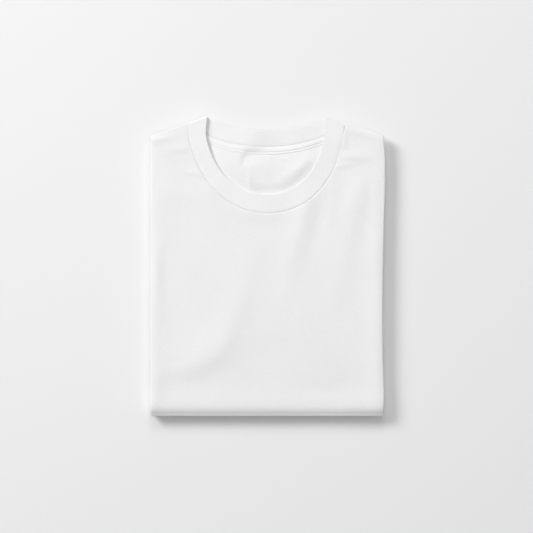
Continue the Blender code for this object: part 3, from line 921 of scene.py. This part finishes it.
def back_band_ring(across):
    share = abs(across)
    low = band_levels()[1]
    seam_x = NECK[0] + across * SHOULDER_X
    seam_y = float(back_seam(seam_x))
    end_y = BAND_PEAK[1] - BACK_EDGE_END * BAND_TURN
    free_y = BACK_EDGE_DIP + (end_y - BACK_EDGE_DIP) * share**BACK_EDGE_BEND
    free_x = NECK[0] + across * BAND_PEAK[0]
    seam_z = float(back_face(seam_x, seam_y)) - SEAM_GAP - BACK_SEAM_SINK
    curl = BACK_EDGE_CURL * math.exp(-(((seam_x - CURL_X) / CURL_HALF_WIDTH) ** 2))
    free_z = float(back_face(free_x, free_y)) - SEAM_GAP - BACK_SEAM_SINK + curl
    start = LIFT_FROM[-1 if across < 0.0 else 1]
    blend = float(ease((share - start) / (LIFT_TO - start)))
    seam = (seam_x, seam_y, seam_z + (low - seam_z) * blend)
    free = (free_x, free_y, free_z + (low - free_z) * blend)
    return band_ring(seam, free, (0.0, 0.0, -1.0), SEAM_FALL, -FREE_UNDERCUT)


turns = np.linspace(0.0, math.pi, SHOULDER_STATIONS)
stations = [shoulder_band_ring(1, 2.0 * BAND_EDGE, 0.0)]
stations += [front_band_ring(angle) for angle in np.linspace(0.0, math.pi, FRONT_STATIONS)]
stations += [shoulder_band_ring(-1, 2.0 * BAND_EDGE, 0.0)]
stations += [shoulder_band_ring(-1, BAND_EDGE, turn) for turn in turns]
stations += [back_band_ring(across) for across in np.linspace(-BACK_END, BACK_END, BACK_STATIONS)]
stations += [shoulder_band_ring(1, BAND_EDGE, turn) for turn in turns[::-1]]
stations = np.array(stations)
middle = stations.mean(axis=1)
steps = np.linalg.norm(np.roll(middle, -1, axis=0) - middle, axis=1)
along = np.concatenate([[0.0], np.cumsum(steps)])
ribs = int(round(along[-1] / RIB_PITCH))
fine = np.linspace(0.0, along[-1], ribs * POINTS_PER_RIB + 1)[:-1]
flat_loop = np.concatenate([stations, stations[:1]]).reshape(len(stations) + 1, -1)
dense = np.array([np.interp(fine, along, flat_loop[:, k]) for k in range(flat_loop.shape[1])])
dense = dense.T.reshape(len(fine), -1, 3)
centre = dense.mean(axis=1, keepdims=True)
ahead = np.roll(dense, -1, axis=1) - np.roll(dense, 1, axis=1)
forward = np.roll(centre, -1, axis=0) - np.roll(centre, 1, axis=0)
outward = np.cross(ahead, np.broadcast_to(forward, ahead.shape))
outward /= np.linalg.norm(outward, axis=2, keepdims=True)
relief = RIB_RELIEF * np.cos(2.0 * math.pi * np.arange(len(fine)) / POINTS_PER_RIB)
dense = dense + outward * relief[:, None, None]
count, size = dense.shape[:2]
faces = []
for k in range(count):
    after = (k + 1) % count
    for j in range(size):
        step = (j + 1) % size
        faces.append((k * size + j, k * size + step, after * size + step, after * size + j))
white_rib = knit_material("white_rib", RIB_WHITE, 0.0007, 0.0006, 0.00006)
neckband = piece_from("neckband_rib", dense.reshape(-1, 3), faces, white_rib)
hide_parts("neck_rib")
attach(neckband, "root")


# Front panel
# The front of the shirt, one panel of white single jersey with a scooped neckline. It runs
# over the stack, rolls under at both sides, folds round at the bottom edge and comes back
# under the stack to its hem.

ROLL_X = 0.0050
ROLL_RUN = 0.0030
ROLL_TUCK = 0.93
ROLL_SQUARENESS = 7.0
ROLL_LEAN = 0.25
LOWER_RECESS = {-1: 0.0029, 1: 0.0014}
RECESS_WAVES = (
    # depth, waves per metre times two pi, shift from side to side
    (0.0004, 71.0, 1.0),
    (0.0003, 157.0, -2.0),
)
RECESS_RUN = 0.030
SHOULDER_TURN = 0.0006
FOLD_AXIS = -0.1655
BOTTOM_FOLD = (
    # y, height as a share of the stack
    (-0.1590, 1.000),
    (-0.1616, 1.000),
    (-0.1644, 0.997),
    (-0.1668, 0.986),
    (-0.1692, 0.965),
    (-0.1715, 0.927),
    (-0.1736, 0.874),
    (-0.1748, 0.834),
    (-0.1758, 0.807),
    (-0.1767, 0.787),
    (-0.1774, 0.773),
    (-0.1777, 0.752),
    (-0.1777, 0.710),
    (-0.1773, 0.600),
    (-0.1766, 0.480),
    (-0.1756, 0.350),
    (-0.1739, 0.220),
    (-0.1712, 0.110),
    (-0.1670, 0.035),
    (-0.1610, 0.000),
)
SEAM_DIP = (
    # distance out from the neckband's seam, depth below the panel's face
    (-0.0010, 0.00240),
    (-0.0002, 0.00190),
    (0.0000, 0.00034),
    (0.0003, 0.00020),
    (0.0007, 0.00009),
    (0.0012, 0.00003),
    (0.0020, 0.00000),
)
TUCKED = SEAM_DIP[0][0]
SHALLOW_SHARE = 0.95
SHALLOW_FROM = 0.105
SHALLOW_RUN = 0.045
PANEL_COLUMNS = 150
ROLL_COLUMNS = 21
UPPER_ROWS = 78
LOWER_ROWS = 90
FOLD_ROWS = 60
UNDER_ROWS = 36
NOSE_START = 0.0065
MOST_TURNED = 0.97
ON_TOP = STACK_MIDDLE + 0.002
SNAP = 0.00012
BESIDE_SEAM = SEAM_DIP[-1][0] + 0.0002


def section_columns(flat_count, turn_count):
    """Place between the two side rolls, offset out from there, and share turned under."""
    turns = np.linspace(math.pi, 0.0, turn_count)[:-1]
    bulge = np.abs(np.sin(turns)) ** (2.0 / ROLL_SQUARENESS)
    fall = np.sign(np.cos(turns)) * np.abs(np.cos(turns)) ** (2.0 / ROLL_SQUARENESS)
    bulge = bulge - ROLL_LEAN * (1.0 - fall) / 2.0
    bulge = bulge / bulge.max()
    flat = np.linspace(0.0, 1.0, flat_count)
    runs = np.linspace(-ROLL_RUN / ROLL_X, 0.0, 3)[:-1]
    left = np.concatenate([runs, bulge])
    left_turned = np.concatenate([np.ones(2), (1.0 - fall) / 2.0])
    place = np.concatenate([np.zeros(len(left)), flat, np.ones(len(left))])
    offset = np.concatenate([-left, np.zeros(flat_count), left[::-1]])
    turned = np.concatenate([left_turned, np.zeros(flat_count), left_turned[::-1]])
    return place, offset, turned * ROLL_TUCK


def section_x(y, place, offset):
    left = LEFT_EDGE + ROLL_X
    right = curve_through(RIGHT_EDGE, y) - ROLL_X
    return left + (right - left) * place + ROLL_X * offset


def lower_recess(y, side):
    """How far the lower side folds sit back under the upper ones, on the left (-1) or right (1)."""
    wave = sum(depth * math.sin(y * pace + shift * side) for depth, pace, shift in RECESS_WAVES)
    return (LOWER_RECESS[side] + wave) * float(ease((y - BOTTOM_FOLD[-1][0]) / RECESS_RUN))


def edge_drop(x, y):
    """Depth of the panel below its flat face, beside the neck seam and at the shoulder edge."""
    out, depth = np.array(SEAM_DIP).T
    inside_edge = np.clip((shoulder_line(x) - y) / SHOULDER_TURN, 0.0, 1.0)
    shoulder = SHOULDER_TURN * (1.0 - (1.0 - (1.0 - inside_edge) ** 3) ** (1.0 / 3.0))
    from_band = from_seam(x, y)
    dip = np.interp(from_band, out, depth)
    right_side = (x > 0.0) * (from_band > -0.0001)
    shallow = SHALLOW_SHARE * ease((y - SHALLOW_FROM) / SHALLOW_RUN) * right_side
    return dip * (1.0 - shallow) + shoulder


place, offset, turned = section_columns(PANEL_COLUMNS, ROLL_COLUMNS)
sheet_rows = []
start = shoulder_line(section_x(CORNER[1], place, offset))
edge_shares = [0.0, 0.0003, 0.0009, 0.0020, 0.0035]
upper_shares = np.linspace(0.007, 0.36, UPPER_ROWS)
lower_shares = np.linspace(0.36, 1.0, LOWER_ROWS)[1:]
for share in np.concatenate([edge_shares, upper_shares, lower_shares]):
    y = start + (FOLD_AXIS + NOSE_START - start) * share
    x = section_x(y, place, offset)
    top = front_face(x, y)
    fallen = np.maximum(edge_drop(x, y), 0.0) / (top - STACK_MIDDLE)
    down = np.minimum((turned**3 + fallen**3) ** (1.0 / 3.0), MOST_TURNED)
    z = STACK_MIDDLE + (top - STACK_MIDDLE) * (1.0 - down)
    sheet_rows.append(np.column_stack([x, y, z]))
fold_y, fold_share = np.array(BOTTOM_FOLD).T
fold_steps = np.hypot(np.diff(fold_y), np.diff(fold_share) * STACK_TOP)
run = np.concatenate([[0.0], np.cumsum(fold_steps)])
rest = 1.0 - turned
brow = front_face(section_x(fold_y[0], place, offset), fold_y[0]) - STACK_TOP
for at in np.linspace(0.0, run[-1], FOLD_ROWS)[1:]:
    y = float(curve_through(np.column_stack([run, fold_y]), at))
    share = float(curve_through(np.column_stack([run, fold_share]), at))
    axis = max(y, FOLD_AXIS)
    height = STACK_TOP * share + brow * max(share * 2.0 - 1.0, 0.0)
    z = STACK_MIDDLE + (height - STACK_MIDDLE) * rest
    sheet_rows.append(np.column_stack([section_x(y, place, offset), axis + (y - axis) * rest, z]))
for y in np.linspace(fold_y[-1], HEM, UNDER_ROWS)[1:]:
    x = section_x(y, place, offset)
    x = x + lower_recess(y, -1) * (1.0 - place) - lower_recess(y, 1) * place
    sheet_rows.append(np.column_stack([x, np.full(len(x), y), STACK_MIDDLE * (1.0 - rest)]))


def split_faces(points, faces, field):
    """Cuts every face that crosses the zero line of a field, and returns the two sides."""
    points = [tuple(point) for point in points]
    field = list(field)
    cuts = {}
    inner = []
    outer = []
    for face in faces:
        values = [field[corner] for corner in face]
        if min(values) >= 0.0:
            outer.append(face)
            continue
        if max(values) <= 0.0:
            inner.append(face)
            continue
        walk = []
        for corner, other in zip(face, face[1:] + face[:1]):
            walk.append(corner)
            if field[corner] * field[other] < 0.0:
                key = (min(corner, other), max(corner, other))
                if key not in cuts:
                    share = field[key[0]] / (field[key[0]] - field[key[1]])
                    a, b = points[key[0]], points[key[1]]
                    cuts[key] = len(points)
                    points.append(tuple(p + (q - p) * share for p, q in zip(a, b)))
                    field.append(0.0)
                walk.append(cuts[key])
        outer.append(tuple(corner for corner in walk if field[corner] >= 0.0))
        inner.append(tuple(corner for corner in walk if field[corner] <= 0.0))
    inner = [face for face in inner if len(face) > 2]
    outer = [face for face in outer if len(face) > 2]
    return np.array(points), inner, outer


def cut_neckline(points, faces):
    """Cuts the neckline out of the panel and gives it edge lines along the dip at the seam."""
    for level, _ in SEAM_DIP[::-1]:
        on_top = points[:, 2] > ON_TOP
        field = np.where(on_top, from_seam(points[:, 0], points[:, 1]) - level, 1.0)
        near = np.abs(field) < SNAP
        shift = np.where(near, field, 0.0)
        across = points[:, 0] - NECK[0]
        down = np.minimum(points[:, 1] - NECK[1], 0.0)
        radius = np.hypot(across, down)
        points = points.copy()
        points[:, 0] -= shift * across / radius
        points[:, 1] -= shift * down / radius
        points, inner, outer = split_faces(points, faces, np.where(near, 0.0, field))
        faces = outer + inner if level > TUCKED else outer
    used = sorted({corner for face in faces for corner in face})
    order = {old: new for new, old in enumerate(used)}
    points = points[used]
    x, y = points[:, 0], points[:, 1]
    beside = (points[:, 2] > ON_TOP) & (from_seam(x, y) < BESIDE_SEAM)
    points[beside, 2] = (front_face(x, y) - edge_drop(x, y))[beside]
    return points, [tuple(order[corner] for corner in face) for face in faces]


quads = grid_quads(len(sheet_rows), len(place))
points, faces = cut_neckline(np.concatenate(sheet_rows), quads)
points, faces = thicken(points, faces, JERSEY)
jersey_face = knit_material("white_jersey_face", WHITE_JERSEY, WALE, COURSE, 0.00009)
front_cloth = piece_from("front_panel_cloth", points, faces, jersey_face)
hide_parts("front_panel")
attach(front_cloth, "root")


# Table top
# A plain pale surface under the shirt, with a matt finish.

TABLE_SIZE = 6.0
TABLE_WHITE = (0.80, 0.80, 0.803, 1.0)
TABLE_ROUGHNESS = 0.95
TABLE_SPECULAR = 0.1
bpy.ops.mesh.primitive_plane_add(size=TABLE_SIZE, location=(0.0, 0.0, 0.0))
table_top = bpy.context.active_object
table_top.name = "pale_surface"
surface = bpy.data.materials.new("pale_surface_paint")
surface.use_nodes = True
paint = surface.node_tree.nodes["Principled BSDF"]
paint.inputs["Base Color"].default_value = TABLE_WHITE
paint.inputs["Roughness"].default_value = TABLE_ROUGHNESS
paint.inputs["Specular IOR Level"].default_value = TABLE_SPECULAR
table_top.data.materials.append(surface)
table_top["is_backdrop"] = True


# Light and camera
# Large soft lamps above the far left and beyond the neck, a wide one overhead, a weak one from
# the right, weak light from all round, and a camera looking straight down.

ROOM_LIGHT = 0.22
LAMPS = (
    # name, degrees left of +Y, elevation, distance, size, watts
    ("window_lamp", 53.0, 37.0, 4.5, 2.1, 152.0),
    ("far_lamp", 0.0, 38.0, 7.0, 3.4, 122.0),
    ("right_lamp", -68.0, 35.0, 4.5, 2.4, 15.0),
    ("overhead_lamp", -90.0, 87.0, 4.0, 2.1, 34.0),
)
for name, side, elevation, distance, size, watts in LAMPS:
    lamp_data = bpy.data.lights.new(name, "AREA")
    lamp_data.shape = "DISK"
    lamp_data.size = size
    lamp_data.energy = watts
    lamp = bpy.data.objects.new(name, lamp_data)
    side, elevation = math.radians(side), math.radians(elevation)
    lamp.location = (
        -distance * math.cos(elevation) * math.sin(side),
        distance * math.cos(elevation) * math.cos(side),
        distance * math.sin(elevation),
    )
    lamp.rotation_euler = (-lamp.location).to_track_quat("-Z", "Y").to_euler()
    bpy.context.collection.objects.link(lamp)

world = bpy.data.worlds.new("soft_room")
world.use_nodes = True
room = world.node_tree.nodes["Background"]
room.inputs["Color"].default_value = (1.0, 1.0, 1.0, 1.0)
room.inputs["Strength"].default_value = ROOM_LIGHT
bpy.context.scene.world = world
bpy.context.scene.view_settings.view_transform = "Standard"

CAMERA_X = -0.0014
CAMERA_Y = -0.0006
CAMERA_HEIGHT = 4.0
PIXELS_ACROSS = 533
PIXEL = 0.001183
SENSOR = 36.0
camera_data = bpy.data.cameras.new("overhead")
camera_data.sensor_width = SENSOR
camera_data.lens = SENSOR * (CAMERA_HEIGHT - STACK_TOP) / (PIXELS_ACROSS * PIXEL)
camera = bpy.data.objects.new("overhead", camera_data)
camera.location = (CAMERA_X, CAMERA_Y, CAMERA_HEIGHT)
bpy.context.collection.objects.link(camera)
bpy.context.scene.camera = camera

low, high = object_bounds()
